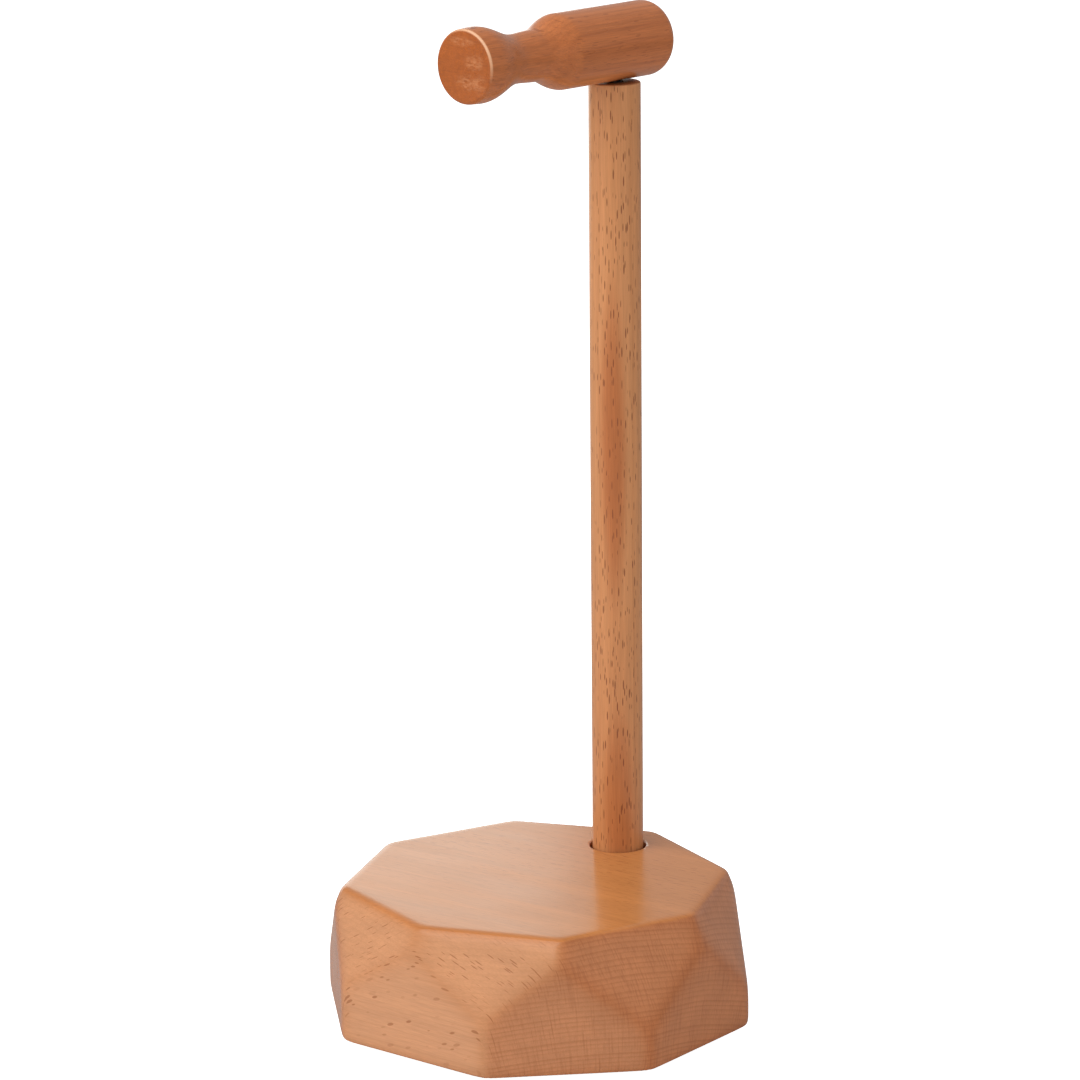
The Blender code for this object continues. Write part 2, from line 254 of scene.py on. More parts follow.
def blend(start, start_radius, end, end_radius, steps, straight=0.0):
    """Points along a smooth S-shaped step between two radii, without its first point.

    A share that is straight leaves a faint edge where the step begins and ends.
    """
    points = []
    for i in range(1, steps + 1):
        share = i / steps
        ease = straight * share + (1.0 - straight) * (1.0 - math.cos(math.pi * share)) / 2.0
        points.append((start_radius + (end_radius - start_radius) * ease, start + (end - start) * share))
    return points


def cut_out(mesh, cutters):
    """The mesh with the cutters' shapes taken out of it."""
    thing = bpy.data.objects.new("work", mesh)
    bpy.context.scene.collection.objects.link(thing)
    tools = []
    for cutter in cutters:
        tool = bpy.data.objects.new("cutter", cutter)
        bpy.context.scene.collection.objects.link(tool)
        boolean = thing.modifiers.new("cut", "BOOLEAN")
        boolean.operation = "DIFFERENCE"
        boolean.solver = "EXACT"
        boolean.object = tool
        tools.append(tool)
    return finished_mesh(thing, tools)


def finished_mesh(thing, tools=()):
    """An object's mesh with its modifiers applied. The object and its tools are removed."""
    depsgraph = bpy.context.evaluated_depsgraph_get()
    mesh = bpy.data.meshes.new_from_object(thing.evaluated_get(depsgraph))
    for used in (thing, *tools):
        bpy.data.objects.remove(used, do_unlink=True)
    return mesh


def size_of(node):
    """A CAD node's lowest z, highest z, and half its width."""
    low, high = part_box(node)
    return low.z, high.z, (high.x - low.x) / 2.0


def axis_of(node):
    """Where a round CAD node's upright axis stands."""
    low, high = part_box(node)
    return Vector(((low.x + high.x) / 2.0, (low.y + high.y) / 2.0, 0.0))


def on_axis_of(node, mesh):
    """The mesh, moved from the origin to a CAD node's axis."""
    mesh.transform(Matrix.Translation(axis_of(node)))
    return mesh


def plug(node, radius, low, high):
    """A plain round cutter on a CAD node's axis."""
    outline = [(0.0, low), (radius, low), (radius, high), (0.0, high)]
    return on_axis_of(node, lathe("plug", outline, BORE_SIDES))


# ---------------------------------------------------------------- block


def flat_faces(node):
    """The planes of a CAD node's large flat faces: outward normals, and distances from the origin."""
    found = []
    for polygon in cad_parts[node].data.polygons:
        distance = polygon.normal.dot(polygon.center)
        for plane in found:
            same_way = polygon.normal.dot(plane[0]) > math.cos(math.radians(SAME_FACE_DEG))
            if same_way and abs(distance - plane[1]) < GAP:
                plane[2] += polygon.area
                break
        else:
            found.append([polygon.normal.copy(), distance, polygon.area])
    large = [plane for plane in found if plane[2] > FLAT_FACE_AREA]
    normals = np.array([plane[0] for plane in large], float)
    distances = np.array([plane[1] for plane in large], float)
    return normals, distances


def sharp_block(normals, distances):
    """The sharp-edged block that the planes bound, as a bmesh."""
    work = bmesh.new()
    bmesh.ops.create_cube(work, size=1.0)
    for normal, distance in zip(normals, distances):
        geometry = [*work.verts, *work.edges, *work.faces]
        place = Vector(normal) * distance
        made = bmesh.ops.bisect_plane(work, geom=geometry, plane_co=place, plane_no=normal, clear_outer=True)
        rim = [item for item in made["geom_cut"] if isinstance(item, bmesh.types.BMEdge)]
        if rim:
            bmesh.ops.edgenet_fill(work, edges=rim)
    bmesh.ops.recalc_face_normals(work, faces=work.faces)
    return work


def nearness(points, normals, distances, softness):
    """How far the points lie outside the block with softened edges, the way out, and each face's share.

    softness is a number, or a column with one for each point.
    """
    out = (points @ normals.T - distances) / softness
    most = out.max(axis=1, keepdims=True)
    shares = np.exp(out - most)
    total = shares.sum(axis=1, keepdims=True)
    shares /= total
    return (softness * (most + np.log(total)))[:, 0], shares @ normals, shares


def mesh_points(mesh):
    """A mesh's points as an array."""
    points = np.zeros(len(mesh.vertices) * 3)
    mesh.vertices.foreach_get("co", points)
    return points.reshape(-1, 3)


def block_mesh():
    """The block with sanded edges, its socket, its screw hole and the recesses for its feet."""
    normals, distances = flat_faces("base")
    work = sharp_block(normals, distances)
    mesh = bpy.data.meshes.new("block")
    work.to_mesh(mesh)
    work.free()
    thing = bpy.data.objects.new("work", mesh)
    bpy.context.scene.collection.objects.link(thing)
    remesh = thing.modifiers.new("cells", "REMESH")
    remesh.mode = "VOXEL"
    remesh.voxel_size = BLOCK_CELL
    mesh = finished_mesh(thing)
    points = mesh_points(mesh)
    top = size_of("base")[1]
    for _ in range(SETTLING_ROUNDS):
        below_top = np.clip((top - points[:, 2:]) / TOP_EDGE_DEPTH, 0.0, 1.0)
        softness = TOP_EDGE_SOFTNESS + (RIDGE_SOFTNESS - TOP_EDGE_SOFTNESS) * below_top
        out, way, _shares = nearness(points, normals, distances, softness)
        points -= way * (out / (way * way).sum(axis=1))[:, None]
    depth = np.array([noise.noise(Vector(point) / SANDING_SIZE) for point in points])
    points -= way * ((1.0 + depth) * SANDING_DEPTH)[:, None]
    mesh.vertices.foreach_set("co", points.ravel())
    mesh.update()
    mesh = cut_out(mesh, [socket_cutter(), *recess_cutters()])
    out, way, shares = nearness(mesh_points(mesh), normals, distances, EDGE_TONE_REACH)
    tone = (1.0 - shares.max(axis=1)) * 2.0
    tone[out < -BORE_DEPTH] = 0.0
    attribute = mesh.attributes.new("edge_tone", "FLOAT", "POINT")
    attribute.data.foreach_set("value", np.clip(tone, 0.0, 1.0).astype(np.float32))
    return mesh


def socket_cutter():
    """The post's socket with a rounded rim, the screw's hole and its counterbore, as one stepped cutter."""
    bottom, top, _ = size_of("base")
    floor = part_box("post")[0].z - GAP
    radius = size_of("post")[2] + SOCKET_CLEARANCE
    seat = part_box("post_washer")[1].z + GAP
    bore = size_of("post_washer")[2] + COUNTERBORE_CLEARANCE
    rim = arc((radius + SOCKET_RIM, top - SOCKET_RIM), SOCKET_RIM, 180.0, 90.0, 8)
    outline = [
        (0.0, bottom - PAST),
        (bore, bottom - PAST),
        (bore, seat),
        (SCREW_HOLE_RADIUS, seat),
        (SCREW_HOLE_RADIUS, floor),
        (radius, floor),
        *rim,
        (radius + SOCKET_RIM, top + PAST),
        (0.0, top + PAST),
    ]
    return on_axis_of("post", lathe("socket_cutter", outline, POST_SIDES))


def foot_nodes():
    """The names of the pads' CAD nodes."""
    return sorted(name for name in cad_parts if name.startswith("foot_"))


def recess_cutters():
    """A shallow round cutter for each pad's recess."""
    cutters = []
    for name in foot_nodes():
        _, top, radius = size_of(name)
        cutters.append(plug(name, radius + GAP, -PAST, top + GAP))
    return cutters


# ---------------------------------------------------------------- post and crossbar


def post_mesh():
    """The dowel, bored at its foot for the insert and at its head for the bolt."""
    foot, head, radius = size_of("post")
    hole_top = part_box("post_insert")[1].z + INSERT_HOLE_EXTRA
    bolt_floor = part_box("hanger_bolt")[0].z - GAP
    bolt_radius = THREAD_RADIUS + GAP
    low_edge = arc((radius - POST_EDGE, foot + POST_EDGE), POST_EDGE, -90.0, 0.0, 4)
    high_edge = arc((radius - POST_EDGE, head - POST_EDGE), POST_EDGE, 0.0, 90.0, 6)
    heights = steps_between(foot + POST_EDGE, head - POST_EDGE, POST_ROW)[1:-1]
    outline = [
        (0.0, hole_top),
        (INSERT_HOLE_RADIUS, hole_top),
        (INSERT_HOLE_RADIUS, foot),
        *low_edge,
        *[(radius, z) for z in heights],
        *high_edge,
        (bolt_radius, head),
        (bolt_radius, bolt_floor),
        (0.0, bolt_floor),
    ]

    def turned(reach, z, turn):
        """A dowel's surface is a little uneven."""
        if reach <= radius - POST_EDGE:
            return reach
        place = Vector((reach * math.cos(turn), reach * math.sin(turn), z / POST_STRETCH)) / TURNING_SIZE
        return reach - TURNING_DEPTH * (1.0 + noise.noise(place))

    return on_axis_of("post", lathe("post", outline, POST_SIDES, turned))


def bar_place():
    """The crossbar's own frame: its axis is local Z, pointing forward from above the post."""
    low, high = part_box("crossbar")
    place = axis_of("post")
    place.z = (low.z + high.z) / 2.0
    laid_down = Matrix.Rotation(math.radians(90.0), 4, "X")
    turn = Matrix.Rotation(math.radians(BAR_TURN_DEG), 4, "Z") @ laid_down
    return Matrix.Translation(place) @ turn


def crossbar_mesh():
    """The turned bar, bored from beneath for its insert."""
    rear = arc((BAR_RADIUS - BAR_REAR_ROUND, BAR_REAR + BAR_REAR_ROUND), BAR_REAR_ROUND, -90.0, 0.0, 14)
    front_centre = (RIM_FRONT_RADIUS - FRONT_ROUND, BAR_FRONT - FRONT_ROUND)
    front = arc(front_centre, FRONT_ROUND, 0.0, 90.0, 12)
    outline = [
        (0.0, BAR_REAR),
        (rear[0][0] / 2.0, BAR_REAR),
        *rear,
        *[(BAR_RADIUS, z) for z in steps_between(rear[-1][1], SHOULDER_START, BAR_ROW)[1:]],
        *blend(SHOULDER_START, BAR_RADIUS, SHOULDER_END, NECK_REAR_RADIUS, 22, SHOULDER_EDGE),
        *blend(SHOULDER_END, NECK_REAR_RADIUS, NECK_FRONT, NECK_RADIUS, 8),
        *blend(NECK_FRONT, NECK_RADIUS, RIM_START, RIM_RADIUS, 26),
        *front,
        (front_centre[0] / 2.0, BAR_FRONT),
        (0.0, BAR_FRONT),
    ]

    def turned(reach, z, turn):
        """A turned and sanded surface is a little uneven."""
        place = Vector((reach * math.cos(turn), reach * math.sin(turn), z)) / TURNING_SIZE
        return reach - TURNING_DEPTH * (1.0 + noise.noise(place))

    mesh = lathe("crossbar", outline, BAR_SIDES, turned)
    mesh.transform(bar_place())
    hole_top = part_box("crossbar_insert")[1].z + INSERT_HOLE_EXTRA
    hole_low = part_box("crossbar")[0].z - PAST
    return cut_out(mesh, [plug("post", INSERT_HOLE_RADIUS, hole_low, hole_top)])


# ---------------------------------------------------------------- hardware and pads


def thread(low, high, pitch, depth, crest):
    """A shape for lathe: cuts a thread that fades out at both ends of its length."""

    def shape(reach, z, turn):
        if reach < crest - SAME or z < low or z > high:
            return reach
        share = (z / pitch - turn / math.tau) % 1.0
        tooth = abs(2.0 * share - 1.0)
        fade = min(1.0, (z - low) / THREAD_RUN_OUT, (high - z) / THREAD_RUN_OUT)
        return reach - depth * tooth * max(0.0, fade)

    return shape


def hexagon(turn):
    """How far a hexagon's side is from its middle in this direction, in half distances across its flats."""
    part = (turn + math.pi / 6.0) % (math.pi / 3.0) - math.pi / 6.0
    return 1.0 / math.cos(part)


def screw_mesh():
    """The socket-head screw, standing head down in the counterbore."""
    low, high, head_radius = size_of("post_screw")
    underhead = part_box("post_lock_washer")[0].z - GAP
    flat = HEX_ACROSS_FLATS / 2.0
    head = arc((head_radius - HEAD_CHAMFER, low + HEAD_CHAMFER), HEAD_CHAMFER, -90.0, 0.0, 5)
    thread_low = underhead + PLAIN_SHANK
    thread_high = high - THREAD_CHAMFER
    outline = [
        (0.0, low + HEX_DEPTH + HEX_TIP),
        (flat, low + HEX_DEPTH),
        (flat, low),
        *head,
        (head_radius, underhead - UNDERHEAD_CHAMFER),
        (head_radius - UNDERHEAD_CHAMFER, underhead),
        (THREAD_RADIUS, underhead),
        *[(THREAD_RADIUS, z) for z in steps_between(thread_low, thread_high, THREAD_PITCH / THREAD_ROWS)],
        (THREAD_RADIUS - THREAD_CHAMFER, high),
        (0.0, high),
    ]
    threaded = thread(thread_low, thread_high, THREAD_PITCH, THREAD_DEPTH, THREAD_RADIUS)

    def shape(reach, z, turn):
        """The head's hexagon socket, and the thread."""
        if z < underhead and abs(reach - flat) < SAME:
            return flat * hexagon(turn)
        if z > underhead and abs(reach - THREAD_RADIUS) < SAME:
            return threaded(reach, z, turn)
        return reach

    return on_axis_of("post", lathe("post_screw", outline, KNURLED_SIDES, shape))


def hanger_bolt_mesh():
    """The headless bolt: a coarse wood thread below, a machine thread above, and a plain waist between."""
    low, high, radius = size_of("hanger_bolt")
    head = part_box("post")[1].z
    point = low + POINT_LENGTH
    waist_low = head - WAIST_BOTTOM
    waist_high = head - WAIST_TOP
    thread_high = high - THREAD_CHAMFER
    outline = [
        (0.0, low),
        *[(radius * (z - low) / (point - low), z) for z in steps_between(low, point, POINT_ROW)[1:-1]],
        *[(radius, z) for z in steps_between(point, waist_low, WOOD_THREAD_PITCH / WOOD_THREAD_ROWS)],
        *[(radius, z) for z in steps_between(waist_high, thread_high, THREAD_PITCH / THREAD_ROWS)],
        (radius - THREAD_CHAMFER, high),
        (0.0, high),
    ]
    coarse = thread(point, waist_low, WOOD_THREAD_PITCH, WOOD_THREAD_DEPTH, radius)
    fine = thread(waist_high, thread_high, THREAD_PITCH, THREAD_DEPTH, radius)

    def shape(reach, z, turn):
        """The coarse thread below the waist, and the fine one above."""
        return coarse(reach, z, turn) if z < waist_low else fine(reach, z, turn)

    return on_axis_of("post", lathe("hanger_bolt", outline, BOLT_SIDES, shape))


def insert_mesh(node):
    """A threaded insert with two knurled bands and a groove between them."""
    low, high, radius = size_of(node)
    bore = THREAD_RADIUS + GAP
    middle = (low + high) / 2.0
    outside = [
        (radius - INSERT_CHAMFER, low),
        (radius, low + INSERT_CHAMFER),
        (radius, middle - 1.5 * INSERT_GROOVE),
        (radius - INSERT_GROOVE, middle - INSERT_GROOVE),
        (radius - INSERT_GROOVE, middle + INSERT_GROOVE),
        (radius, middle + 1.5 * INSERT_GROOVE),
        (radius, high - INSERT_CHAMFER),
        (radius - INSERT_CHAMFER, high),
    ]
    inside = [(bore, z) for z in steps_between(high, low, THREAD_PITCH / BORE_THREAD_ROWS)]

    def shape(reach, z, turn):
        """Knurls on the bands, and a shallow thread in the bore."""
        if abs(reach - radius) < SAME:
            return reach - KNURL_DEPTH * abs(math.sin(turn * KNURLS / 2.0))
        if abs(reach - bore) < SAME and low + INSERT_CHAMFER < z < high - INSERT_CHAMFER:
            share = (z / THREAD_PITCH - turn / math.tau) % 1.0
            return reach + BORE_THREAD_DEPTH * abs(2.0 * share - 1.0)
        return reach

    return on_axis_of("post", lathe(node, outside + inside, KNURLED_SIDES, shape, closed=True))


def washer_mesh():
    """The flat washer, with its stamped edges slightly rounded."""
    low, high, radius = size_of("post_washer")
    edge = WASHER_EDGE
    outline = [
        *arc((radius - edge, low + edge), edge, -90.0, 0.0, 4),
        *arc((radius - edge, high - edge), edge, 0.0, 90.0, 4),
        (SCREW_HOLE_RADIUS, high),
        (SCREW_HOLE_RADIUS, low),
    ]
    return on_axis_of("post", lathe("post_washer", outline, WASHER_SIDES, closed=True))


def lock_washer_mesh():
    """The split lock washer, squeezed flat, with its slit cut on the slant."""
    low, high, radius = size_of("post_lock_washer")
    edge = LOCK_WASHER_EDGE
    corners = []
    for centre, start in (
        ((radius - edge, low + edge), -90.0),
        ((radius - edge, high - edge), 0.0),
        ((SCREW_HOLE_RADIUS + edge, high - edge), 90.0),
        ((SCREW_HOLE_RADIUS + edge, low + edge), 180.0),
    ):
        corners += arc(centre, edge, start, start + 90.0, 3)
    slit = math.radians(SLIT_HALF_DEG)
    slant = math.radians(SLIT_SLANT_DEG)
    vertices = []
    for i in range(WASHER_SIDES + 1):
        share = i / WASHER_SIDES
        for reach, z in corners:
            lean = slant * ((z - low) / (high - low) - 0.5)
            turn = slit + (math.tau - 2.0 * slit) * share + lean
            vertices.append((reach * math.cos(turn), reach * math.sin(turn), z))
    count = len(corners)
    faces = [tuple(range(count)), tuple(range(WASHER_SIDES * count, (WASHER_SIDES + 1) * count))]
    for i in range(WASHER_SIDES):
        for a in range(count):
            b = (a + 1) % count
            faces.append((i * count + a, i * count + b, (i + 1) * count + b, (i + 1) * count + a))
    return on_axis_of("post", mesh_from("post_lock_washer", vertices, faces))


def pad_mesh(node):
    """A moulded anti-slip pad with a rounded edge and a shallow dished face."""
    low, high, radius = size_of(node)
    edge = PAD_EDGE
    # The dish's floor comes down to the rim as its reach grows, so the two sides of blend change places.
    dish = blend(radius * DISH_FLAT, low + DISH_DEPTH, radius * DISH_RIM, low, 4)
    outline = [
        (0.0, low + DISH_DEPTH),
        (radius * DISH_FLAT, low + DISH_DEPTH),
        *[(reach, z) for z, reach in dish],
        *arc((radius - edge, low + edge), edge, -90.0, 0.0, 6),
        (radius, high - edge / 2.0),
        (radius - edge / 2.0, high),
        (0.0, high),
    ]
    return on_axis_of(node, lathe(node, outline, PAD_SIDES))


# ---------------------------------------------------------------- materials


LACQUER_IOR = 1.46
LACQUER_BUMP = 0.003 * MM


class Shading:
    """A material's nodes, with one short call for each kind of step."""

    def __init__(self, name):
        self.material = bpy.data.materials.new(name)
        self.material.use_nodes = True
        self.tree = self.material.node_tree
        self.shader = self.tree.nodes["Principled BSDF"]

    def put(self, socket, value):
        """Link an output to a socket, or set the socket to a plain value."""
        if isinstance(value, bpy.types.NodeSocket):
            self.tree.links.new(value, socket)
        else:
            socket.default_value = value

    def node(self, kind, inputs=None, **settings):
        """A new node with its settings and inputs."""
        made = self.tree.nodes.new(kind)
        for key, value in settings.items():
            setattr(made, key, value)
        for key, value in (inputs or {}).items():
            self.put(made.inputs[key], value)
        return made

    def math(self, operation, *values):
        """A sum, product or other step on plain numbers."""
        made = self.node("ShaderNodeMath", dict(enumerate(values)), operation=operation)
        return made.outputs[0]

    def vector(self, operation, *values):
        """A step on vectors."""
        made = self.node("ShaderNodeVectorMath", dict(enumerate(values)), operation=operation)
        return made.outputs["Value" if operation == "DOT_PRODUCT" else "Vector"]

    def between(self, value, low, high, start=0.0, end=1.0):
        """Goes smoothly from start to end as the value goes from low to high."""
        inputs = {"Value": value, "From Min": low, "From Max": high, "To Min": start, "To Max": end}
        return self.node("ShaderNodeMapRange", inputs, interpolation_type="SMOOTHSTEP").outputs["Result"]

    def combine(self, x, y, z):
        """A vector from three numbers."""
        return self.node("ShaderNodeCombineXYZ", {0: x, 1: y, 2: z}).outputs[0]

    def noise(self, place, sizes, detail=2.0, rough=0.5):
        """Soft noise whose patches have these sizes, about 0.5 on average."""
        scaled = self.vector("DIVIDE", place, sizes)
        inputs = {"Vector": scaled, "Scale": 1.0, "Detail": detail, "Roughness": rough}
        return self.node("ShaderNodeTexNoise", inputs).outputs[0]

    def mix(self, share, first, second, how="MIX"):
        """Two colours mixed. The node's inputs 6 and 7 and its output 2 are the ones for colour."""
        made = self.node("ShaderNodeMix", data_type="RGBA", blend_type=how)
        self.put(made.inputs[0], share)
        for socket, colour in ((made.inputs[6], first), (made.inputs[7], second)):
            self.put(socket, (*colour, 1.0) if isinstance(colour, tuple) else colour)
        return made.outputs[2]

    def bump(self, height, depth):
        """A bump of a given depth in metres."""
        inputs = {"Height": height, "Distance": depth, "Strength": 1.0}
        return self.node("ShaderNodeBump", inputs).outputs[0]

    def finish(self, colour, rough, normal=None, plain=None):
        """Connect the shader. Anything that is the same all over is a plain value."""
        self.put(self.shader.inputs["Base Color"], colour)
        self.put(self.shader.inputs["Roughness"], rough)
        if normal is not None:
            self.put(self.shader.inputs["Normal"], normal)
        for name, value in (plain or {}).items():
            self.shader.inputs[name].default_value = value
        return self.material


class Wood(Shading):
    """Beech as a solid: growth rings round a pith, rays that run out from it, and fibres along the grain."""

    def __init__(self, name, pith, grain, outward):
        super().__init__(name)
        self.grain = Vector(grain).normalized()
        self.outward = Vector(outward).normalized()
        side = self.grain.cross(self.outward)
        self.object_place = self.node("ShaderNodeTexCoord").outputs["Object"]
        centred = self.vector("SUBTRACT", self.object_place, tuple(pith))
        self.along, self.side, self.out = (
            self.vector("DOT_PRODUCT", centred, tuple(way)) for way in (self.grain, side, self.outward)
        )
        self.place = self.combine(self.along, self.side, self.out)
        wobble = self.noise(self.place, (90 * MM, 30 * MM, 30 * MM), 1.0)
        self.wobble = self.math("SUBTRACT", wobble, 0.5)
        squares = self.math("ADD", self.math("POWER", self.side, 2.0), self.math("POWER", self.out, 2.0))
        self.radius = self.math("SQRT", squares)
        self.angle = self.math("ARCTAN2", self.side, self.out)

    def rings(self, spacing, sway):
        """0 in early wood, rising to 1 at each ring's last, dark line."""
        drift = self.math("MULTIPLY", self.wobble, sway)
        phase = self.math("DIVIDE", self.math("ADD", self.radius, drift), spacing)
        band = self.noise(self.combine(phase, 0.0, 0.0), (2.7, 1.0, 1.0), 1.0)
        phase = self.math("ADD", phase, self.math("MULTIPLY", band, 1.6))
        share = self.math("FRACT", phase)
        rise = self.between(share, 0.35, 0.92)
        fall = self.between(share, 1.0, 0.93)
        strength = self.between(band, 0.3, 0.65, 0.45, 1.0)
        return self.math("MULTIPLY", self.math("MULTIPLY", rise, fall), strength)

    def rays(self, mean_radius, gap, length, depth, share, thick):
        """1 inside a ray, 0 outside. Rays are thin blades that point away from the pith.

        gap, length and depth are the blades' spacing across, along and outwards, share is the share of the
        places that hold a blade, and thick is its half thickness as a share of the gap.
        """
        bend = self.math("MULTIPLY", self.wobble, 0.8 * MM / gap)
        across = self.math("ADD", self.math("MULTIPLY", self.angle, mean_radius / gap), bend)
        lie = self.math("DIVIDE", self.along, length)
        outward = self.math("DIVIDE", self.radius, depth)
        inputs = {"Vector": self.combine(across, lie, outward), "Scale": 1.0}
        cells = self.node("ShaderNodeTexVoronoi", inputs, voronoi_dimensions="3D", feature="F1")
        random = self.node("ShaderNodeSeparateColor", {0: cells.outputs["Color"]})
        size = self.between(random.outputs[0], 0.0, 1.0, 0.55 * thick, thick)
        inside = self.between(self.math("DIVIDE", cells.outputs["Distance"], size), 1.0, 0.7)
        chosen = self.between(random.outputs[1], share, share - 0.02)
        darkness = self.between(random.outputs[2], 0.0, 0.85, 0.18, 1.0)
        return self.math("MULTIPLY", self.math("MULTIPLY", inside, chosen), darkness)

    def fine_rays(self, mean_radius):
        """The close, fine lines that rays draw on end grain."""
        across = self.math("MULTIPLY", self.angle, mean_radius)
        lines = self.noise(self.combine(across, self.along, self.radius), (0.36 * MM, 3 * MM, 9 * MM), 1.0)
        return self.between(lines, 0.50, 0.68)

    def facing(self, way):
        """1 where the surface faces along a direction or against it, 0 where it is turned well away."""
        normal = self.node("ShaderNodeTexCoord").outputs["Normal"]
        facing = self.math("ABSOLUTE", self.vector("DOT_PRODUCT", normal, tuple(way)))
        return self.between(facing, 0.3, 0.9)

    def spot(self, across, up, width, height):
        """1 in the middle of an ellipse, falling smoothly to 0 at its edge."""
        first = self.math("POWER", self.math("DIVIDE", across, width), 2.0)
        second = self.math("POWER", self.math("DIVIDE", up, height), 2.0)
        return self.between(self.math("ADD", first, second), 1.0, 0.0)

    def times(self, colour, factor):
        """A colour made lighter or darker."""
        return self.mix(1.0, colour, self.combine(factor, factor, factor), "MULTIPLY")


def grown(wood, tones, ring, ray, fibre, streaks=()):
    """The wood's colour.

    tones are the colours of its quarter-sawn and flat-sawn faces, its end grain, its rings' lines and its
    rays. ring is (spacing, sway, strength, strength on end grain). ray is (mean radius, gap, length, depth,
    share, thickness, strength, strength on end grain, fine lines' strength there). fibre is the contrast of
    its fibres. Each streak is (side, width, along, length, colour, strength) in the wood's own directions.
    """
    side_tone, flat_tone, end_tone, ring_tone, ray_tone = tones
    spacing, sway, ring_strength, end_ring_strength = ring
    *blades, ray_strength, end_ray_strength, fine_strength = ray
    mean_radius = blades[0]
    end = wood.facing(wood.grain)
    colour = wood.mix(wood.facing(wood.outward), side_tone, flat_tone)
    colour = wood.mix(end, colour, end_tone)
    broad = wood.noise(wood.place, (120 * MM, 9 * MM, 9 * MM), 3.0)
    colour = wood.times(colour, wood.between(broad, 0.32, 0.68, 0.95, 1.05))
    for side, width, along, length, tone, strength in streaks:
        drift = wood.math("MULTIPLY", wood.wobble, 3.0 * MM)
        off_side = wood.math("SUBTRACT", wood.math("ADD", wood.side, drift), side)
        near = wood.spot(off_side, wood.math("SUBTRACT", wood.along, along), width, length)
        colour = wood.mix(wood.math("MULTIPLY", near, strength), colour, tone)
    ring_share = wood.between(end, 0.0, 1.0, ring_strength, end_ring_strength)
    colour = wood.mix(wood.math("MULTIPLY", wood.rings(spacing, sway), ring_share), colour, ring_tone)
    fibres = wood.noise(wood.place, (9 * MM, 0.26 * MM, 0.26 * MM), 2.0, 0.6)
    colour = wood.times(colour, wood.between(fibres, 0.25, 0.75, 1.0 - fibre, 1.0 + 0.8 * fibre))
    strands = wood.noise(wood.place, (45 * MM, 1.2 * MM, 1.2 * MM), 2.0, 0.6)
    colour = wood.times(colour, wood.between(strands, 0.3, 0.7, 1.0 - 0.5 * fibre, 1.0 + 0.5 * fibre))
    rays = wood.rays(*blades)
    ray_share = wood.between(end, 0.0, 1.0, ray_strength, end_ray_strength)
    colour = wood.mix(wood.math("MULTIPLY", rays, ray_share), colour, ray_tone)
    fine = wood.math("MULTIPLY", wood.fine_rays(mean_radius), wood.math("MULTIPLY", end, fine_strength))
    colour = wood.mix(fine, colour, ray_tone)
    wood.relief = wood.math("SUBTRACT", fibres, wood.math("MULTIPLY", rays, 0.6))
    return colour


def lacquered(wood, colour, rough):
    """Wood of that colour under a thin satin lacquer."""
    patches = wood.noise(wood.place, (40 * MM, 9 * MM, 9 * MM), 2.0)
    gloss = wood.between(patches, 0.3, 0.7, rough - 0.015, rough + 0.02)
    return wood.finish(colour, gloss, wood.bump(wood.relief, LACQUER_BUMP), {"IOR": LACQUER_IOR})


def base_beech():
    """The block's wood: grain almost along X, with the pith well below it. Its sanded edges are darker."""
    tones = (
        (0.63, 0.305, 0.155),
        (0.63, 0.244, 0.074),
        (0.56, 0.210, 0.084),
        (0.40, 0.135, 0.047),
        (0.32, 0.100, 0.036),
    )
    ring = (1.4 * MM, 2.0 * MM, 0.10, 0.50)
    ray = (145 * MM, 0.38 * MM, 5.0 * MM, 16.0 * MM, 0.98, 0.33, 0.62, 0.20, 0.30)
    edge_tint = (0.86, 0.70, 0.50)
    lean = math.radians(3.0)
    grain = (math.cos(lean), math.sin(lean), 0.0)
    pith = (0.0, -33 * MM, -123 * MM)
    wood = Wood("base_beech", pith, grain, (0.0, 0.0, 1.0))
    colour = grown(wood, tones, ring, ray, fibre=0.06)
    tone = wood.node("ShaderNodeAttribute", attribute_name="edge_tone").outputs["Fac"]
    strength = wood.between(wood.facing(grain), 0.0, 1.0, 0.5, 0.65)
    colour = wood.mix(wood.math("MULTIPLY", tone, strength), colour, edge_tint, "MULTIPLY")
    return lacquered(wood, colour, rough=0.20)


def towards_camera():
    """The level direction from the stand to the camera."""
    angle = math.radians(CAMERA_AZIMUTH_DEG)
    return Vector((math.sin(angle), -math.cos(angle), 0.0))


def post_beech():
    """The dowel's wood: grain upright, with its rays seen end on from the front."""
    tones = (
        (0.62, 0.268, 0.106),
        (0.67, 0.287, 0.113),
        (0.44, 0.180, 0.070),
        (0.42, 0.135, 0.040),
        (0.22, 0.066, 0.022),
    )
    ring = (2.2 * MM, 3.0 * MM, 0.20, 0.4)
    radius = 60 * MM
    ray = (radius, 0.52 * MM, 4.8 * MM, 12.0 * MM, 0.97, 0.37, 0.95, 0.5, 0.3)
    outward = towards_camera()
    reddish = (0.46, 0.130, 0.034)
    streaks = (
        (-1.0 * MM, 4.6 * MM, 162 * MM, 56 * MM, reddish, 0.85),
        (0.5 * MM, 5.5 * MM, 56 * MM, 34 * MM, reddish, 0.6),
    )
    wood = Wood("post_beech", axis_of("post") - outward * radius, (0.0, 0.0, 1.0), outward)
    return lacquered(wood, grown(wood, tones, ring, ray, 0.08, streaks), rough=0.30)


# Pale blots on the crossbar's front face: right, up, half width and half height, from its middle.
BLOTS = (
    (4.0 * MM, 1.4 * MM, 4.6 * MM, 3.0 * MM),
    (1.3 * MM, -4.3 * MM, 5.4 * MM, 2.8 * MM),
    (6.2 * MM, -4.4 * MM, 3.0 * MM, 3.4 * MM),
    (-1.0 * MM, 7.0 * MM, 6.0 * MM, 1.6 * MM),
)


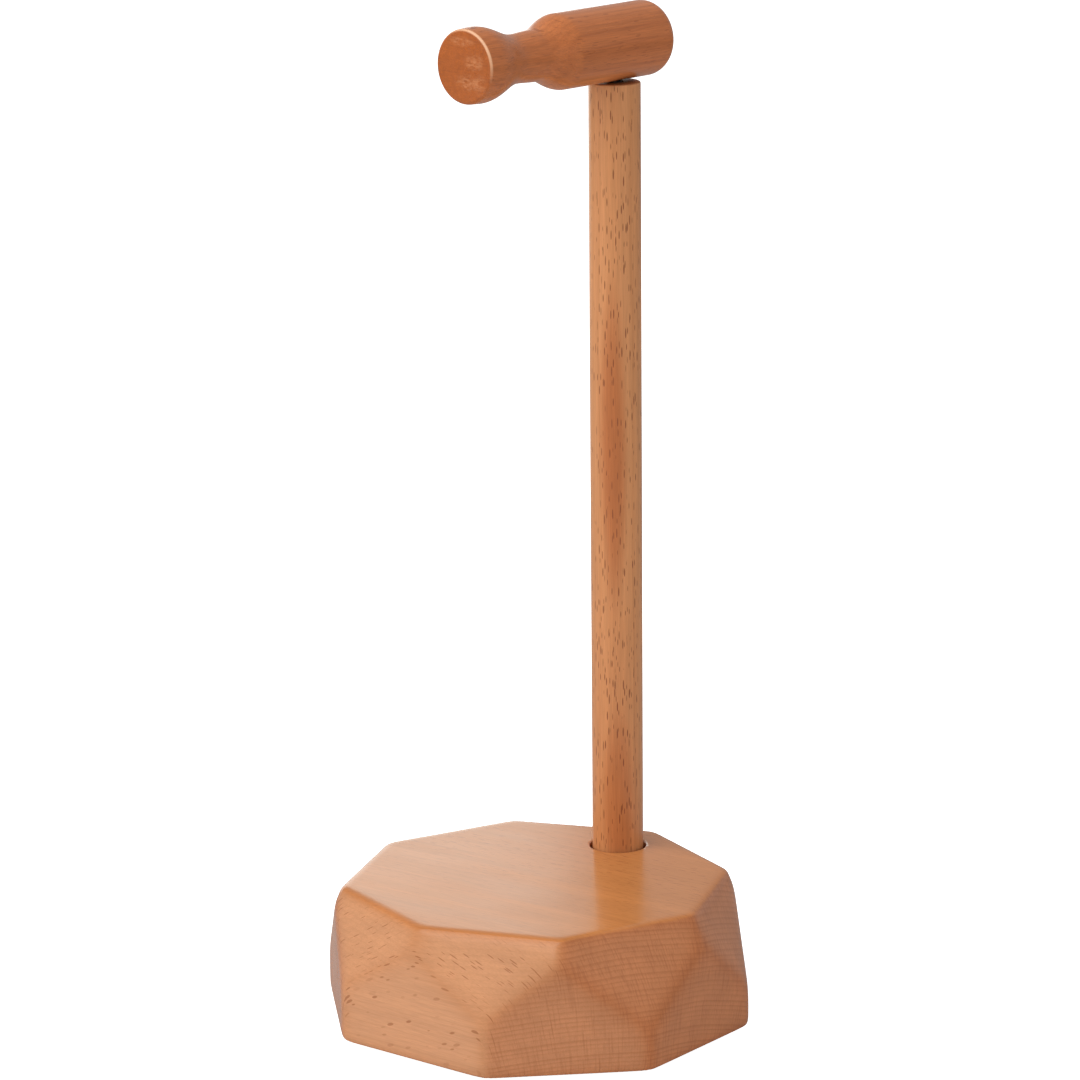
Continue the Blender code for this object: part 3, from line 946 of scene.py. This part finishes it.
def crossbar_beech():
    """The crossbar's wood: darker, with its grain along the bar, blotchy on the front face, and with a
    painted highlight along its front rim.
    """
    tones = (
        (0.56, 0.178, 0.054),
        (0.52, 0.157, 0.046),
        (0.41, 0.104, 0.018),
        (0.36, 0.090, 0.024),
        (0.22, 0.055, 0.016),
    )
    pale = (0.60, 0.235, 0.095)
    # Painted highlight: the paler colour of the thin highlight along the front rim.
    painted_rim_highlight = (0.80, 0.44, 0.25)
    ring = (1.8 * MM, 2.0 * MM, 0.25, 0.25)
    radius = 45 * MM
    ray = (radius, 0.46 * MM, 4.0 * MM, 12.0 * MM, 0.95, 0.33, 0.55, 0.3, 0.2)
    frame_of_bar = bar_place()
    grain = frame_of_bar.to_3x3() @ Vector((0.0, 0.0, 1.0))
    outward = grain.cross(Vector((0.0, 0.0, 1.0)))
    wood = Wood("crossbar_beech", frame_of_bar.translation - outward * radius, grain, outward)
    colour = grown(wood, tones, ring, ray, fibre=0.14)
    end = wood.facing(grain)
    right = wood.math("SUBTRACT", radius, wood.out)
    up = wood.math("MULTIPLY", wood.side, -1.0)
    mottle = wood.noise(wood.object_place, (1.8 * MM, 2.0 * MM, 0.8 * MM), 4.0, 0.75)
    mottle = wood.math("MULTIPLY", wood.between(mottle, 0.40, 0.66), wood.math("MULTIPLY", end, 0.75))
    for across, height, width, tall in BLOTS:
        near = wood.spot(wood.math("SUBTRACT", right, across), wood.math("SUBTRACT", up, height), width, tall)
        colour = wood.mix(wood.math("MULTIPLY", near, mottle), colour, pale)
    squares = wood.math("ADD", wood.math("POWER", right, 2.0), wood.math("POWER", up, 2.0))
    reach = wood.math("SQRT", squares)
    # Painted highlight along the front rim: a thin pale band at the edge, strongest at the upper right and
    # fading towards the lower right.
    inner, outer = (RIM_FRONT_RADIUS - share * FRONT_ROUND for share in (0.75, 0.35))
    at_edge = wood.between(reach, inner, outer)
    back, front = (BAR_FRONT - share * FRONT_ROUND for share in (0.85, 0.55))
    in_front = wood.between(wood.along, back, front)
    upper_right = wood.math("ADD", wood.math("MULTIPLY", right, 0.6), up)
    highlight_falloff = wood.between(upper_right, 0.1 * RIM_RADIUS, RIM_RADIUS)
    painted_highlight_share = wood.math("MULTIPLY", wood.math("MULTIPLY", at_edge, in_front), highlight_falloff)
    # Paint the rim highlight into the colour.
    colour = wood.mix(painted_highlight_share, colour, painted_rim_highlight)
    return lacquered(wood, colour, rough=0.28)


def metal(name, light, dark, rough):
    """Plated metal with faint turning lines and dull patches."""
    shading = Shading(name)
    place = shading.node("ShaderNodeTexCoord").outputs["Object"]
    patches = shading.noise(place, (1.6 * MM, 1.6 * MM, 1.6 * MM), 4.0, 0.6)
    lines = shading.noise(place, (2.0 * MM, 2.0 * MM, 0.08 * MM), 2.0)
    colour = shading.mix(shading.between(patches, 0.3, 0.7), light, dark)
    gloss = shading.between(patches, 0.25, 0.75, rough - 0.06, rough + 0.12)
    normal = shading.bump(lines, 0.004 * MM)
    return shading.finish(colour, gloss, normal, {"Metallic": 1.0})


def rubber():
    """Dark grey silicone rubber with a fine moulded grain and a little dust."""
    shading = Shading("rubber")
    place = shading.node("ShaderNodeTexCoord").outputs["Object"]
    grain = shading.noise(place, (0.25 * MM, 0.25 * MM, 0.25 * MM), 2.0)
    dust = shading.noise(place, (3 * MM, 3 * MM, 3 * MM), 4.0, 0.65)
    colour = shading.mix(shading.between(dust, 0.45, 0.8), (0.028, 0.028, 0.030), (0.075, 0.072, 0.068))
    gloss = shading.between(dust, 0.3, 0.7, 0.62, 0.8)
    return shading.finish(colour, gloss, shading.bump(grain, 0.02 * MM))


# ---------------------------------------------------------------- stage, lights and camera


# Brightness of the surround, and what the camera and the lacquer see of it and of the floor.
AMBIENT = 0.42
SEEN_SURROUND = 1.05
MIRRORED_AMBIENT = 0.44
FLOOR_RADIUS = 12.0
FLOOR_TONE = 0.85
FLOOR_GLOW = 1.0
MIRRORED_FLOOR = 0.45

# The panel's right end, seen from the camera, lies PANEL_OVERLAP past the middle of the stand.
PANEL_OVERLAP = 0.017
PANEL_COLOUR = (0.88, 1.0, 0.96)
PANEL_DISTANCE = 1.2
PANEL_WIDTH = 1.2
PANEL_HEIGHT = 0.52
LIGHT_TARGET = (0.0, 0.0, 0.08)


def make_camera():
    """The camera, at the photograph's angle."""
    data = bpy.data.cameras.new("camera")
    data.sensor_width = CAMERA_SENSOR_MM
    data.lens = CAMERA_LENS_MM
    data.clip_start = CAMERA_NEAREST
    data.clip_end = CAMERA_FURTHEST
    camera = bpy.data.objects.new("camera", data)
    tilt = math.radians(90.0 - CAMERA_DOWN_DEG)
    aim = Euler((tilt, 0.0, math.radians(CAMERA_AZIMUTH_DEG))).to_matrix()
    roll = Matrix.Rotation(math.radians(CAMERA_ROLL_DEG), 3, "Z")
    camera.matrix_world = Matrix.Translation(CAMERA_PLACE) @ (aim @ roll).to_4x4()
    bpy.context.scene.collection.objects.link(camera)
    bpy.context.scene.camera = camera


def around(azimuth_deg, distance, height):
    """A place round the stand, with azimuth 0 in front of it (-Y) and 90 at its right (+X)."""
    angle = math.radians(azimuth_deg)
    return Vector((distance * math.sin(angle), -distance * math.cos(angle), height))


def soft_light(name, place, target, width, height, radiance, mirrored=True, colour=(1.0, 1.0, 1.0)):
    """A soft box of even brightness, aimed at a point. Its power follows from its size and its radiance."""
    data = bpy.data.lights.new(name, "AREA")
    data.color = colour
    data.shape = "RECTANGLE"
    data.size = width
    data.size_y = height
    data.energy = radiance * math.pi * width * height
    light = bpy.data.objects.new(name, data)
    light.location = place
    light.rotation_mode = "QUATERNION"
    light.rotation_quaternion = (Vector(target) - place).to_track_quat("-Z", "Y")
    light.visible_camera = False
    light.visible_glossy = mirrored
    bpy.context.scene.collection.objects.link(light)


def make_world():
    """An even pale surround, which is plain white where the camera sees it."""
    world = bpy.data.worlds.new("studio")
    world.use_nodes = True
    nodes = world.node_tree.nodes
    background = nodes["Background"]
    background.inputs["Color"].default_value = (1.0, 1.0, 1.0, 1.0)
    path = nodes.new("ShaderNodeLightPath")
    mirrored = nodes.new("ShaderNodeMapRange")
    mirrored.inputs["To Min"].default_value = AMBIENT
    mirrored.inputs["To Max"].default_value = MIRRORED_AMBIENT
    seen = nodes.new("ShaderNodeMapRange")
    seen.inputs["To Max"].default_value = SEEN_SURROUND
    world.node_tree.links.new(path.outputs["Is Glossy Ray"], mirrored.inputs["Value"])
    world.node_tree.links.new(mirrored.outputs["Result"], seen.inputs["To Min"])
    world.node_tree.links.new(path.outputs["Is Camera Ray"], seen.inputs["Value"])
    world.node_tree.links.new(seen.outputs["Result"], background.inputs["Strength"])
    bpy.context.scene.world = world


def make_floor():
    """A plain white floor that glows a little, so that it stays pale all the way to the horizon."""
    work = bmesh.new()
    bmesh.ops.create_circle(work, cap_ends=True, segments=128, radius=FLOOR_RADIUS)
    mesh = bpy.data.meshes.new("floor")
    work.to_mesh(mesh)
    work.free()
    shading = Shading("floor")
    plain = {"Specular IOR Level": 0.0, "Emission Color": (1.0, 1.0, 1.0, 1.0)}
    path = shading.node("ShaderNodeLightPath")
    tone = shading.between(path.outputs["Is Glossy Ray"], 0.0, 1.0, FLOOR_TONE, MIRRORED_FLOOR)
    shading.finish(shading.combine(tone, tone, tone), 0.9, plain=plain)
    glow = shading.math("MULTIPLY", path.outputs["Is Camera Ray"], FLOOR_GLOW)
    shading.put(shading.shader.inputs["Emission Strength"], glow)
    mesh.materials.append(shading.material)
    floor = bpy.data.objects.new("floor", mesh)
    bpy.context.scene.collection.objects.link(floor)


def make_lights():
    """A key, one overhead, a fill, and a panel behind to the left that the lacquered top mirrors."""
    for name, place, width, height, radiance, mirrored in (
        ("key", around(-28.0, 1.4, 0.60), 1.2, 1.1, 1.75, False),
        ("overhead", around(-10.0, 0.55, 1.05), 1.2, 1.0, 1.75, True),
        ("fill", around(80.0, 1.5, 0.5), 1.0, 0.9, 0.95, False),
    ):
        soft_light(name, place, LIGHT_TARGET, width, height, radiance, mirrored)
    away = -towards_camera()
    left = away.cross(Vector((0.0, 0.0, -1.0)))
    place = away * PANEL_DISTANCE + left * (PANEL_WIDTH / 2.0 - PANEL_OVERLAP)
    place.z = PANEL_HEIGHT / 2.0
    soft_light("back_panel", place, place - away, PANEL_WIDTH, PANEL_HEIGHT, 1.39, colour=PANEL_COLOUR)


def main():
    """Build the stand's looks and the studio."""
    scene = bpy.context.scene
    scene.view_settings.view_transform = "Standard"
    make_camera()
    make_world()
    make_floor()
    make_lights()
    steel = metal("zinc_steel", (0.46, 0.46, 0.47), (0.34, 0.34, 0.35), 0.38)
    # Painted shade: the hanger bolt's steel is made nearly black to stand in for the shade in the narrow gap
    # under the crossbar.
    shade_darkened_steel = metal("shade_darkened_steel", (0.14, 0.14, 0.15), (0.08, 0.08, 0.085), 0.45)
    brass = metal("brass", (0.78, 0.58, 0.26), (0.62, 0.42, 0.16), 0.28)
    grip = rubber()
    add_piece("beech_block", block_mesh(), "stand", ["base"], base_beech())
    add_piece("beech_post", post_mesh(), "stand", ["post"], post_beech())
    add_piece("beech_crossbar", crossbar_mesh(), "crossbar", ["crossbar"], crossbar_beech())
    add_piece("hex_screw", screw_mesh(), "stand", ["post_screw"], steel)
    add_piece("flat_washer", washer_mesh(), "stand", ["post_washer"], steel)
    add_piece("split_washer", lock_washer_mesh(), "stand", ["post_lock_washer"], steel)
    add_piece("threaded_hanger", hanger_bolt_mesh(), "stand", ["hanger_bolt"], shade_darkened_steel)
    add_piece("foot_insert", insert_mesh("post_insert"), "stand", ["post_insert"], brass)
    add_piece("bar_insert", insert_mesh("crossbar_insert"), "crossbar", ["crossbar_insert"], brass)
    for node in foot_nodes():
        add_piece(node.replace("foot", "pad"), pad_mesh(node), "stand", [node], grip)


main()
